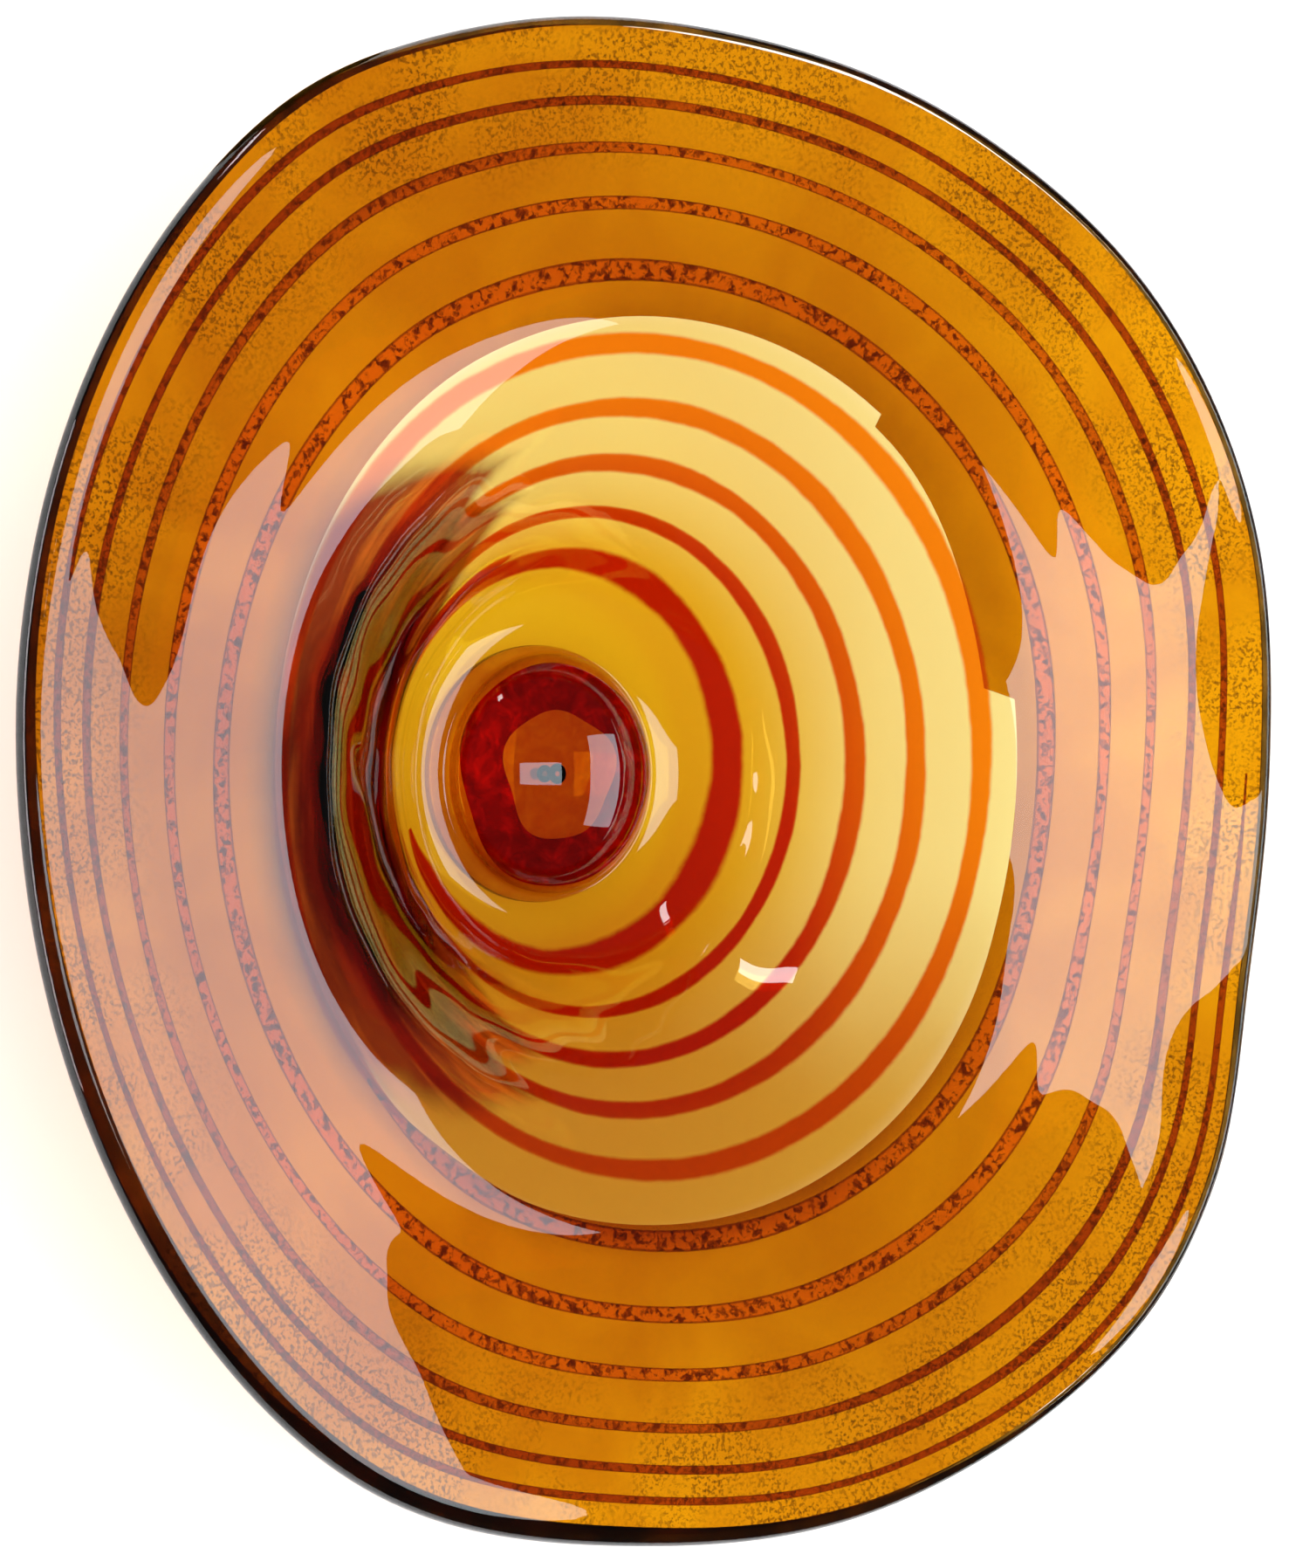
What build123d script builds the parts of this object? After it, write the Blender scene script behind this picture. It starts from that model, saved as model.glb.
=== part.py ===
from build123d import *
import math
import os

# Art glass bowl: a round well with a wide, hand-spun brim, built up from layers of hot glass.
# Units are millimetres. +Z is up, the foot's resting face is centred on the origin, and the long
# way of the brim lies along Y. Angles turn from +X towards +Y.
#
# Places on the wall are given by an angle and by "turn": the number of turns that a spiral of
# glass thread has made there. Turn -6 is the flat floor, turn -5 to 0 is the well, and turn 0 to
# RIM_TURN is the brim.

# ---------------------------------------------------------------- driving dimensions
FLOOR_TURN = -6.0
RIM_TURN = 5.6

# Inner face of the bowl at each turn: turn, reach from the axis, height above the table.
INNER_FACE = [
    (-6.0, 24.0, 10.5),
    (-5.5, 30.6, 11.3),
    (-5.0, 36.3, 14.0),
    (-4.5, 40.9, 19.0),
    (-4.0, 45.0, 24.6),
    (-3.0, 54.0, 34.5),
    (-2.0, 63.5, 42.5),
    (-1.0, 75.0, 50.4),
    (0.0, 89.0, 55.6),
    (1.0, 103.5, 58.1),
    (2.0, 115.0, 59.9),
    (3.0, 125.3, 61.4),
    (4.0, 133.3, 62.6),
    (5.0, 139.5, 63.6),
    (5.6, 142.5, 64.1),
]

# The brim was pulled out of round while it was soft: reach of its edge at each angle, degrees.
EDGE_REACH = [
    (0.0, 138.5),
    (20.0, 145.5),
    (38.0, 147.5),
    (60.0, 142.5),
    (85.0, 138.5),
    (110.0, 141.0),
    (137.0, 147.0),
    (160.0, 145.5),
    (185.0, 140.0),
    (212.0, 135.5),
    (240.0, 138.0),
    (265.0, 142.5),
    (290.0, 147.5),
    (314.0, 154.5),
    (327.0, 152.0),
    (343.0, 139.5),
]

# The edge also rises and droops: angle, how far, and how wide a stretch of the edge it takes.
EDGE_WAVES = [
    (350.0, 4.0, 24.0),
    (212.0, 3.0, 30.0),
    (275.0, -3.0, 34.0),
    (60.0, -1.5, 30.0),
]
PULLED_FROM_TURN = -2.0
WAVES_FROM_TURN = 0.5

FLOOR_THICKNESS = 6.5
WELL_THICKNESS = 5.6
BRIM_THICKNESS = 3.6

AMBER_FROM_TURN = -0.25
AMBER_THICKNESS = 1.2
FUSE_GAP = 0.25

WELL_TRAIL_TURNS = (-5.6, -0.45)
WELL_TRAIL_WIDTHS = [(-6.0, 6.5), (-4.6, 6.0), (-3.5, 4.2), (-2.0, 4.8), (0.0, 5.0)]
BRIM_TRAIL_TURNS = (-0.15, 5.25)
BRIM_TRAIL_WIDTHS = [(-0.2, 4.6), (1.0, 3.6), (2.5, 2.6), (5.5, 2.0)]
TRAIL_THICKNESS = 1.3
ARC_TURNS = 0.25
ARC_POINTS = 6
TAPER_TURNS = 0.15
TAPER_START = 0.3

LIP_RADIUS = 3.1

BUTTON_RADIUS = 23.6
BUTTON_HEIGHT = 9.5
BUTTON_CROWN = 6.0
BUTTON_ROUNDING = 2.6
COLLAR_OUTER = 21.0
COLLAR_INNER = 12.0
COLLAR_HEIGHT = 2.2

FOOT_RADIUS = 26.0
FOOT_EDGE = 1.4

RING_POINTS = 36
RING_STEP = 0.25
BEND_TURN = -4.0
EDGE_TURN = 5.5
EDGE_ROUNDING = 0.12
TINY = 1e-4


# ---------------------------------------------------------------- the shape of the wall
def along(table, place, column=1):
    """Value at a place in a table of rows, on a smooth curve through its points."""
    rows = table
    last = len(rows) - 1
    if place <= rows[0][0]:
        return rows[0][column]
    if place >= rows[last][0]:
        return rows[last][column]
    i = 0
    while rows[i + 1][0] < place:
        i += 1

    def slope(k):
        low = max(k - 1, 0)
        high = min(k + 1, last)
        return (rows[high][column] - rows[low][column]) / (rows[high][0] - rows[low][0])

    span = rows[i + 1][0] - rows[i][0]
    t = (place - rows[i][0]) / span
    start = rows[i][column]
    end = rows[i + 1][column]
    out = slope(i) * span
    into = slope(i + 1) * span
    return (
        start * (2 * t**3 - 3 * t**2 + 1)
        + out * (t**3 - 2 * t**2 + t)
        + end * (3 * t**2 - 2 * t**3)
        + into * (t**3 - t**2)
    )


def turned(angle, centre):
    """Signed difference between two angles, -180 to 180 degrees."""
    return (angle - centre + 180.0) % 360.0 - 180.0


EDGE_LOOP = (
    [(angle - 360.0, reach) for angle, reach in EDGE_REACH[-3:]]
    + EDGE_REACH
    + [(angle + 360.0, reach) for angle, reach in EDGE_REACH[:3]]
)


def fade(turn, start):
    """0 before the start turn, rising smoothly to 1 at the rim."""
    share = (turn - start) / (RIM_TURN - start)
    share = min(max(share, 0.0), 1.0)
    return share * share * (3 - 2 * share)


def inner_point(angle, turn):
    """A point on the inner face."""
    reach = along(INNER_FACE, turn, 1)
    height = along(INNER_FACE, turn, 2)
    pulled = along(EDGE_LOOP, angle % 360.0) - INNER_FACE[-1][1]
    reach += pulled * fade(turn, PULLED_FROM_TURN)
    wave = 0.0
    for centre, rise, width in EDGE_WAVES:
        wave += rise * math.exp(-((turned(angle, centre) / width) ** 2))
    height += wave * fade(turn, WAVES_FROM_TURN) ** 1.5
    a = math.radians(angle)
    return Vector(reach * math.cos(a), reach * math.sin(a), height)


def outward_down(angle, turn):
    """Unit direction from the inner face into the glass, square to the wall's section."""
    if turn <= FLOOR_TURN + TINY:
        return Vector(0, 0, -1)
    step = 0.25
    high = min(turn + step, RIM_TURN)
    low = max(turn - step, FLOOR_TURN)
    across = (inner_point(angle, high) - inner_point(angle, low)).normalized()
    a = math.radians(angle)
    outward = Vector(math.cos(a), math.sin(a), 0)
    return outward * across.Z - Vector(0, 0, 1) * across.dot(outward)


def wall_thickness(turn):
    """Thickness of the clear wall, thick at the floor and thin at the brim."""
    table = [
        (FLOOR_TURN, FLOOR_THICKNESS),
        (-4.0, WELL_THICKNESS),
        (-1.5, WELL_THICKNESS),
        (1.0, BRIM_THICKNESS),
        (RIM_TURN, BRIM_THICKNESS),
    ]
    return along(table, turn)


def deep_point(angle, turn, depth):
    """A point at a depth below the inner face."""
    return inner_point(angle, turn) + outward_down(angle, turn) * depth


def ring(turn, depth):
    """A closed smooth line round the bowl, at one turn and one depth."""
    points = []
    for i in range(RING_POINTS):
        points.append(deep_point(360.0 * i / RING_POINTS, turn, depth))
    shares = [i / RING_POINTS for i in range(RING_POINTS + 1)]
    return Wire([Edge.make_spline(points, periodic=True, parameters=shares)])


# ---------------------------------------------------------------- the pieces
def turns_between(start, end, step=RING_STEP):
    """Turns from start to end, one step apart."""
    return [start + step * i for i in range(round((end - start) / step) + 1)]


def bowl_wall():
    """The clear straw gather: floor, well and brim in one wall."""
    bend = turns_between(FLOOR_TURN, BEND_TURN, RING_STEP / 2)
    climb = bend + turns_between(BEND_TURN + RING_STEP, EDGE_TURN)
    sections = [ring(turn, 0.0) for turn in climb]
    for share in (0.1, 0.5, 0.9):
        swell = EDGE_ROUNDING * (1.0 - (2.0 * share - 1.0) ** 2)
        sections.append(ring(EDGE_TURN + swell, wall_thickness(EDGE_TURN) * share))
    sections += [ring(turn, wall_thickness(turn)) for turn in reversed(climb)]
    return Solid.make_loft(sections, ruled=True)


def amber_overlay():
    """The layer of amber glass laid over the outside of the brim, feathered at both edges."""
    turns = turns_between(AMBER_FROM_TURN, EDGE_TURN)
    upper = [ring(turn, wall_thickness(turn) + FUSE_GAP) for turn in turns]
    lower = []
    for turn in reversed(turns[1:-1]):
        lower.append(ring(turn, wall_thickness(turn) + FUSE_GAP + AMBER_THICKNESS))
    sections = upper + lower
    sections.append(sections[0])
    return Solid.make_loft(sections, ruled=True)


def trail_angle(turn):
    """Angle at which the spiral thread has made this many turns."""
    return 270.0 + 360.0 * turn


THREAD_OUTLINE = [(-1.0, 0.5), (-0.6, 0.0), (0.6, 0.0), (1.0, 0.5), (0.6, 1.0), (-0.6, 1.0)]


def thread_point(corner, turn, turns, widths, depth_at):
    """A corner of the thread's six-sided section, where the thread has made this many turns."""
    side, share = corner
    angle = trail_angle(turn)
    pitch = (inner_point(angle, turn + 0.1) - inner_point(angle, turn - 0.1)).length / 0.2
    to_end = min(turn - turns[0], turns[1] - turn)
    taper = min(1.0, TAPER_START + (1.0 - TAPER_START) * to_end / TAPER_TURNS)
    half = along(widths, turn) / 2 / pitch * taper
    return deep_point(angle, turn + side * half, depth_at(turn) + share * TRAIL_THICKNESS)


def trail(turns, widths, depth_at):
    """A glass thread wound round the outside of the wall as a flattened spiral."""
    start, end = turns
    arcs = round((end - start) / ARC_TURNS)
    nudge = 1e-3
    faces = []
    for arc in range(arcs):
        first = start + (end - start) * arc / arcs
        last = start + (end - start) * (arc + 1) / arcs
        ridges = []
        for corner in THREAD_OUTLINE:

            def place(turn, corner=corner):
                return thread_point(corner, turn, turns, widths, depth_at)

            points = [place(first + (last - first) * i / ARC_POINTS) for i in range(ARC_POINTS + 1)]
            ways = [place(turn + nudge) - place(turn - nudge) for turn in (first, last)]
            ridges.append(Edge.make_spline(points, tangents=ways))
        for k, ridge in enumerate(ridges):
            faces.append(Face.make_surface_from_curves(ridge, ridges[(k + 1) % len(ridges)]))
    for turn in turns:
        corners = [thread_point(c, turn, turns, widths, depth_at) for c in THREAD_OUTLINE]
        faces.append(Face(Wire.make_polygon(corners)))
    return Solid(Shell(faces))


def well_trail():
    """The orange-red thread round the well."""
    return trail(
        WELL_TRAIL_TURNS,
        WELL_TRAIL_WIDTHS,
        lambda turn: wall_thickness(turn) + FUSE_GAP,
    )


def brim_trail():
    """The mottled red-brown thread round the brim, over the amber."""
    return trail(
        BRIM_TRAIL_TURNS,
        BRIM_TRAIL_WIDTHS,
        lambda turn: wall_thickness(turn) + AMBER_THICKNESS + 2 * FUSE_GAP,
    )


def lip_wrap():
    """The dark thread melted round the edge of the brim."""
    steps = 12
    sections = []
    for k in range(steps):
        roll = 2 * math.pi * k / steps
        points = []
        for i in range(RING_POINTS):
            angle = 360.0 * i / RING_POINTS
            inward = deep_point(angle, EDGE_TURN, wall_thickness(EDGE_TURN) / 2)
            edge = deep_point(angle, EDGE_TURN + EDGE_ROUNDING, wall_thickness(EDGE_TURN) / 2)
            out = (edge - inward).normalized()
            down = outward_down(angle, RIM_TURN)
            centre = edge + out * (LIP_RADIUS + FUSE_GAP) + down * (AMBER_THICKNESS / 2)
            across = out * (LIP_RADIUS * math.cos(roll))
            points.append(centre + across + down * (LIP_RADIUS * math.sin(roll)))
        shares = [i / RING_POINTS for i in range(RING_POINTS + 1)]
        sections.append(Wire([Edge.make_spline(points, periodic=True, parameters=shares)]))
    sections.append(sections[0])
    return Solid.make_loft(sections)


def floor_height():
    """Height of the flat floor inside the bowl."""
    return INNER_FACE[0][2]


def base_button():
    """The domed button of clear amber glass in the middle of the floor, hollowed for the collar."""
    base = floor_height()
    crown = (BUTTON_RADIUS**2 + BUTTON_CROWN**2) / (2 * BUTTON_CROWN)
    cap = Pos(0, 0, base + BUTTON_HEIGHT - crown) * Sphere(crown)
    button = cap & Pos(0, 0, base + BUTTON_HEIGHT) * Cylinder(BUTTON_RADIUS, 2 * BUTTON_HEIGHT)
    circles = button.edges().filter_by(lambda edge: edge.length > 4 * BUTTON_RADIUS)
    button = fillet(circles.sort_by(Axis.Z)[-1], BUTTON_ROUNDING)
    groove = Pos(0, 0, base) * Cylinder(COLLAR_OUTER, 2 * COLLAR_HEIGHT)
    groove -= Pos(0, 0, base) * Cylinder(COLLAR_INNER, 2 * COLLAR_HEIGHT)
    return button - groove


def red_collar():
    """The ring of deep red glass shut in under the button."""
    base = floor_height()
    ring_face = Pos(0, 0, base + COLLAR_HEIGHT / 2) * Cylinder(COLLAR_OUTER, COLLAR_HEIGHT)
    return ring_face - Pos(0, 0, base) * Cylinder(COLLAR_INNER, 3 * COLLAR_HEIGHT)


def foot_pad():
    """The flat disc that the bowl stands on."""
    top = floor_height() - FLOOR_THICKNESS
    disc = Pos(0, 0, top / 2) * Cylinder(FOOT_RADIUS, top)
    return fillet(disc.edges().sort_by(Axis.Z)[0], FOOT_EDGE)


PIECES = {
    "bowl_wall": bowl_wall,
    "amber_overlay": amber_overlay,
    "well_trail": well_trail,
    "brim_trail": brim_trail,
    "lip_wrap": lip_wrap,
    "base_button": base_button,
    "red_collar": red_collar,
    "foot_pad": foot_pad,
}

os.makedirs("parts", exist_ok=True)
for name, make in PIECES.items():
    export_step(make(), "parts/" + name + ".step")
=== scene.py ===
import math

import bpy
from mathutils import Matrix, Vector


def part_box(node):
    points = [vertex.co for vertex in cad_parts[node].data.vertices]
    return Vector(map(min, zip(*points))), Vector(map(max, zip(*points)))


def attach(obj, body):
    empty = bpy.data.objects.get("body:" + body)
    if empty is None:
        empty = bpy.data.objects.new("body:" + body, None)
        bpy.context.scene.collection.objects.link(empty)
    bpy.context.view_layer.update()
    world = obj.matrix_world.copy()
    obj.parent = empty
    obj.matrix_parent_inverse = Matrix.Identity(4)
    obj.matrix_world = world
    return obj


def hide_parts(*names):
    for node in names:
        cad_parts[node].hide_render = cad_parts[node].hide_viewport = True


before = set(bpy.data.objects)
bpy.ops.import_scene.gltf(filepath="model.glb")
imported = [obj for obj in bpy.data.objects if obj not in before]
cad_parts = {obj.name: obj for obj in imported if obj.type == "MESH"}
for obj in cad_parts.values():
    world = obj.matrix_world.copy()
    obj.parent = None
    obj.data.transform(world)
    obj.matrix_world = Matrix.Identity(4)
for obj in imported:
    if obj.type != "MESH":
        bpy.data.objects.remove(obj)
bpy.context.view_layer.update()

bl_info = {
    "name": "Spiral Thread Glass Bowl",
    "version": (1, 0, 0),
    "blender": (4, 5, 0),
    "location": "3D View > Sidebar > Glass Bowl",
    "description": "Builds a blown bowl with a wide amber brim and a spiral glass thread",
    "category": "Add Mesh",
}

BODY = "root"
MM = 0.001

# The wall's inner face: turns of thread, reach from the axis and height above the table, mm.
INNER_FACE = [
    (-6.0, 24.0, 10.5),
    (-5.5, 30.6, 11.3),
    (-5.0, 36.3, 14.0),
    (-4.5, 40.9, 19.0),
    (-4.0, 45.0, 24.6),
    (-3.0, 54.0, 34.5),
    (-2.0, 63.5, 42.5),
    (-1.0, 75.0, 50.4),
    (0.0, 89.0, 55.6),
    (1.0, 103.5, 58.1),
    (2.0, 115.0, 59.9),
    (3.0, 125.3, 61.4),
    (4.0, 133.3, 62.6),
    (5.0, 139.5, 63.6),
    (5.6, 142.5, 64.1),
]

# The brim's edge, pulled out of round while it was soft: angle in degrees and reach in mm.
EDGE_REACH = [
    (0.0, 138.0),
    (20.0, 146.0),
    (38.0, 147.3),
    (60.0, 141.8),
    (85.0, 138.0),
    (110.0, 142.2),
    (125.0, 146.2),
    (140.0, 145.2),
    (160.0, 142.3),
    (185.0, 138.5),
    (212.0, 139.2),
    (240.0, 142.2),
    (265.0, 140.2),
    (290.0, 147.4),
    (314.0, 154.0),
    (327.0, 150.5),
    (343.0, 138.7),
]
EDGE_LOOP = (
    [(angle - 360.0, reach) for angle, reach in EDGE_REACH[-3:]]
    + EDGE_REACH
    + [(angle + 360.0, reach) for angle, reach in EDGE_REACH[:3]]
)

# Where the edge rises and droops: angle, how far in mm, and how wide a stretch it takes.
EDGE_WAVES = [
    (350.0, 4.0, 24.0),
    (212.0, 3.0, 30.0),
    (275.0, -3.0, 34.0),
    (60.0, -1.5, 30.0),
]

FLOOR_TURN = -6.0
EDGE_TURN = 5.5
RIM_TURN = 5.6
PULLED_FROM_TURN = -2.0
WAVES_FROM_TURN = 0.5


# ------------------------------------------------------------------ the wall's shape
def along(table, place, column=1):
    """Value at a place in a table of rows, on a smooth curve through its points."""
    last = len(table) - 1
    if place <= table[0][0]:
        return table[0][column]
    if place >= table[last][0]:
        return table[last][column]
    i = 0
    while table[i + 1][0] < place:
        i += 1

    def slope(k):
        low = max(k - 1, 0)
        high = min(k + 1, last)
        return (table[high][column] - table[low][column]) / (table[high][0] - table[low][0])

    span = table[i + 1][0] - table[i][0]
    t = (place - table[i][0]) / span
    return (
        table[i][column] * (2 * t**3 - 3 * t**2 + 1)
        + slope(i) * span * (t**3 - 2 * t**2 + t)
        + table[i + 1][column] * (3 * t**2 - 2 * t**3)
        + slope(i + 1) * span * (t**3 - t**2)
    )


def smooth_step(low, high, value):
    """0 below low, 1 above high, and a smooth rise between."""
    share = min(max((value - low) / (high - low), 0.0), 1.0)
    return share * share * (3.0 - 2.0 * share)


def turned(angle, centre):
    """Signed difference between two angles, -180 to 180 degrees."""
    return (angle - centre + 180.0) % 360.0 - 180.0


def ripple(angle, turn):
    """The hand-made unevenness of the blown wall, in mm of height."""
    a = math.radians(angle)
    reach = along(INNER_FACE, turn)
    x = reach * math.cos(a)
    y = reach * math.sin(a)
    soft = math.sin(x / 17.0 + 1.3 * math.sin(y / 31.0)) * math.sin(y / 23.0 + 0.7)
    slow = math.sin(2 * a + 0.6) * 0.5 + math.sin(3 * a + 2.1) * 0.35 + math.sin(5 * a + 0.4) * 0.2
    settings = bpy.context.scene.glass_bowl_wall
    broad = (0.5 * soft + slow) * smooth_step(-4.5, 2.0, turn)
    well = smooth_step(-5.4, -4.6, turn) * (1.0 - smooth_step(-1.6, -0.2, turn))
    fine = math.sin(x / 2.9 + 1.5 * math.sin(y / 9.0)) * math.sin(y / 3.7 + math.sin(x / 11.0))
    fine += 0.8 * math.sin(x / 6.1 + 0.4) * math.sin(y / 5.3 + 2.0)
    return settings.unevenness / MM * (broad + 0.32 * fine * well)


def wall_point(angle, turn, depth):
    """A point at a depth in mm below the inner face, in metres."""
    a = math.radians(angle)
    step = 0.2
    low = max(turn - step, FLOOR_TURN)
    high = min(turn + step, RIM_TURN)
    run = along(INNER_FACE, high, 1) - along(INNER_FACE, low, 1)
    rise = along(INNER_FACE, high, 2) - along(INNER_FACE, low, 2)
    if turn <= FLOOR_TURN + 1e-4:
        rise = 0.0
    length = math.hypot(run, rise)
    reach = along(INNER_FACE, turn, 1) + depth * rise / length
    height = along(INNER_FACE, turn, 2) - depth * run / length
    return warp(a, reach, height, turn)


def warp(a, reach, height, turn):
    """Pulls a round place out of round, as the brim was pulled. a is in radians."""
    angle = math.degrees(a) % 360.0
    pulled = along(EDGE_LOOP, angle) - INNER_FACE[-1][1]
    reach += pulled * smooth_step(PULLED_FROM_TURN, RIM_TURN, turn)
    wave = 0.0
    for centre, lift, width in EDGE_WAVES:
        wave += lift * math.exp(-((turned(angle, centre) / width) ** 2))
    height += wave * smooth_step(WAVES_FROM_TURN, RIM_TURN, turn) ** 1.5
    height += ripple(angle, turn)
    return Vector((reach * math.cos(a), reach * math.sin(a), height)) * MM


def cad_thickness(turn):
    """Thickness of the clear wall in mm, thick at the floor and thin at the brim."""
    table = [(-6.0, 6.5), (-4.0, 5.6), (-1.5, 5.6), (1.0, 3.6), (5.6, 3.6)]
    return along(table, turn)


def full_thickness(turn):
    """Thickness of the wall with the layers and threads that are shut in it, in mm."""
    return cad_thickness(turn) + smooth_step(-5.5, -4.5, turn) * 1.2


# ------------------------------------------------------------------ modelling helpers
def only(obj):
    """Deselects everything else and makes obj the active object."""
    bpy.ops.object.select_all(action="DESELECT")
    obj.select_set(True)
    bpy.context.view_layer.objects.active = obj


def ring_tube(name, segments, rings):
    """A tube of rings, extruded one by one from a circle and left open at both ends."""
    bpy.ops.object.select_all(action="DESELECT")
    bpy.ops.mesh.primitive_circle_add(vertices=segments, radius=0.01, location=(0, 0, 0))
    obj = bpy.context.active_object
    obj.name = name
    obj.data.name = name
    bpy.ops.object.mode_set(mode="EDIT")
    bpy.ops.mesh.select_all(action="SELECT")
    for _ in range(rings - 1):
        bpy.ops.mesh.extrude_region_move(TRANSFORM_OT_translate={"value": (0, 0, 0.001)})
    bpy.ops.object.mode_set(mode="OBJECT")
    return obj


def close_ends(obj, segments):
    """Fills the first and last ring of a tube, and turns the faces outwards."""
    only(obj)
    count = len(obj.data.vertices)
    for start in (0, count - segments):
        for i, vertex in enumerate(obj.data.vertices):
            vertex.select = start <= i < start + segments
        bpy.ops.object.mode_set(mode="EDIT")
        bpy.ops.mesh.select_mode(type="VERT")
        bpy.ops.mesh.edge_face_add()
        bpy.ops.mesh.poke()
        bpy.ops.object.mode_set(mode="OBJECT")
        for vertex in obj.data.vertices:
            vertex.select = False
        for face in obj.data.polygons:
            face.select = False
        for edge in obj.data.edges:
            edge.select = False
    face_outwards(obj)


def join_ends(obj, segments):
    """Bridges the last ring of a tube to its first, so that it closes on itself."""
    only(obj)
    count = len(obj.data.vertices)
    for edge in obj.data.edges:
        a, b = edge.vertices
        at_start = a < segments and b < segments
        at_end = a >= count - segments and b >= count - segments
        edge.select = at_start or at_end
    for i, vertex in enumerate(obj.data.vertices):
        vertex.select = i < segments or i >= count - segments
    bpy.ops.object.mode_set(mode="EDIT")
    bpy.ops.mesh.select_mode(type="EDGE")
    bpy.ops.mesh.bridge_edge_loops()
    bpy.ops.object.mode_set(mode="OBJECT")
    face_outwards(obj)


def face_outwards(obj):
    """Recalculates the normals of a closed mesh so that they point out of the glass."""
    only(obj)
    bpy.ops.object.mode_set(mode="EDIT")
    bpy.ops.mesh.select_all(action="SELECT")
    bpy.ops.mesh.normals_make_consistent(inside=False)
    bpy.ops.object.mode_set(mode="OBJECT")


def finish(obj, levels, material, slot, *nodes):
    """Smooths a finished piece, gives it its glass and sets it in the frame."""
    only(obj)
    if levels:
        smooth = obj.modifiers.new("Smooth", "SUBSURF")
        smooth.levels = levels
        smooth.render_levels = levels
        bpy.ops.object.modifier_apply(modifier=smooth.name)
    bpy.ops.object.shade_smooth()
    obj.data.materials.clear()
    obj.data.materials.append(material)
    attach(obj, BODY)
    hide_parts(*nodes)


def shape_rings(obj, segments, place):
    """Moves each vertex of a ring tube to place(share round the ring, ring number)."""
    for i, vertex in enumerate(obj.data.vertices):
        vertex.co = place((i % segments) / segments, i // segments)


# ------------------------------------------------------------------ glass
class Nodes:
    """Short ways to lay out a material's nodes."""

    def __init__(self, name):
        self.material = bpy.data.materials.new(name)
        self.material.use_nodes = True
        self.tree = self.material.node_tree
        self.tree.nodes.clear()
        self.count = 0

    def add(self, kind, **settings):
        node = self.tree.nodes.new(kind)
        node.location = (220 * (self.count % 8), -260 * (self.count // 8))
        self.count += 1
        for key, value in settings.items():
            setattr(node, key, value)
        return node

    def link(self, source, target):
        self.tree.links.new(source, target)

    def feed(self, target, value):
        if hasattr(value, "is_output"):
            self.link(value, target)
        else:
            target.default_value = value

    def math(self, operation, a, b=0.0, clamp=False):
        node = self.add("ShaderNodeMath", operation=operation, use_clamp=clamp)
        self.feed(node.inputs[0], a)
        self.feed(node.inputs[1], b)
        return node.outputs[0]

    def ramp(self, value, low, high, start=0.0, end=1.0):
        node = self.add("ShaderNodeMapRange", interpolation_type="SMOOTHSTEP")
        self.feed(node.inputs["Value"], value)
        node.inputs["From Min"].default_value = low
        node.inputs["From Max"].default_value = high
        node.inputs["To Min"].default_value = start
        node.inputs["To Max"].default_value = end
        return node.outputs["Result"]

    def mix(self, share, a, b, blend="MIX"):
        node = self.add("ShaderNodeMix", data_type="RGBA", blend_type=blend)
        self.feed(node.inputs["Factor"], share)
        self.feed(node.inputs[6], a)
        self.feed(node.inputs[7], b)
        return node.outputs[2]

    def noise(self, vector, scale, detail=2.0, roughness=0.5, distortion=0.0):
        node = self.add("ShaderNodeTexNoise")
        self.feed(node.inputs["Vector"], vector)
        node.inputs["Scale"].default_value = scale
        node.inputs["Detail"].default_value = detail
        node.inputs["Roughness"].default_value = roughness
        node.inputs["Distortion"].default_value = distortion
        return node.outputs["Fac"]

    def place(self):
        return self.add("ShaderNodeTexCoord").outputs["Object"]

    def split(self, vector):
        node = self.add("ShaderNodeSeparateXYZ")
        self.link(vector, node.inputs[0])
        return node.outputs

    def reach(self):
        x, y, _ = self.split(self.place())
        squares = self.math("ADD", self.math("MULTIPLY", x, x), self.math("MULTIPLY", y, y))
        return self.math("SQRT", squares)

    def glass(self, colour, ior, roughness=0.0, normal=None):
        """Glass of this colour; rays from lamps and pale surfaces pass straight through it."""
        shader = self.add("ShaderNodeBsdfPrincipled")
        self.feed(shader.inputs["Base Color"], colour)
        shader.inputs["Metallic"].default_value = 0.0
        shader.inputs["Transmission Weight"].default_value = 1.0
        shader.inputs["IOR"].default_value = ior
        self.feed(shader.inputs["Roughness"], roughness)
        if normal is not None:
            self.link(normal, shader.inputs["Normal"])
        root = self.add("ShaderNodeGamma")
        self.feed(root.inputs["Color"], colour)
        root.inputs["Gamma"].default_value = 0.5
        clear = self.add("ShaderNodeBsdfTransparent")
        self.link(root.outputs[0], clear.inputs["Color"])
        path = self.add("ShaderNodeLightPath")
        through = self.math("MAXIMUM", path.outputs["Is Shadow Ray"], path.outputs["Is Diffuse Ray"])
        mixed = self.add("ShaderNodeMixShader")
        self.link(through, mixed.inputs[0])
        self.link(shader.outputs[0], mixed.inputs[1])
        self.link(clear.outputs[0], mixed.inputs[2])
        out = self.add("ShaderNodeOutputMaterial")
        self.link(mixed.outputs[0], out.inputs["Surface"])
        return self.material


CLEAR_IOR = 1.5
SHUT_IN_IOR = 1.0


# The painted dark band on the well's near side, painted shade for the thick wall seen edge-on: its middle
# and half its width, m, and how fast it narrows.
BAND_HEIGHT = 0.0378
BAND_HALF = 0.0200
BAND_NARROWING = 1.28


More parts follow.
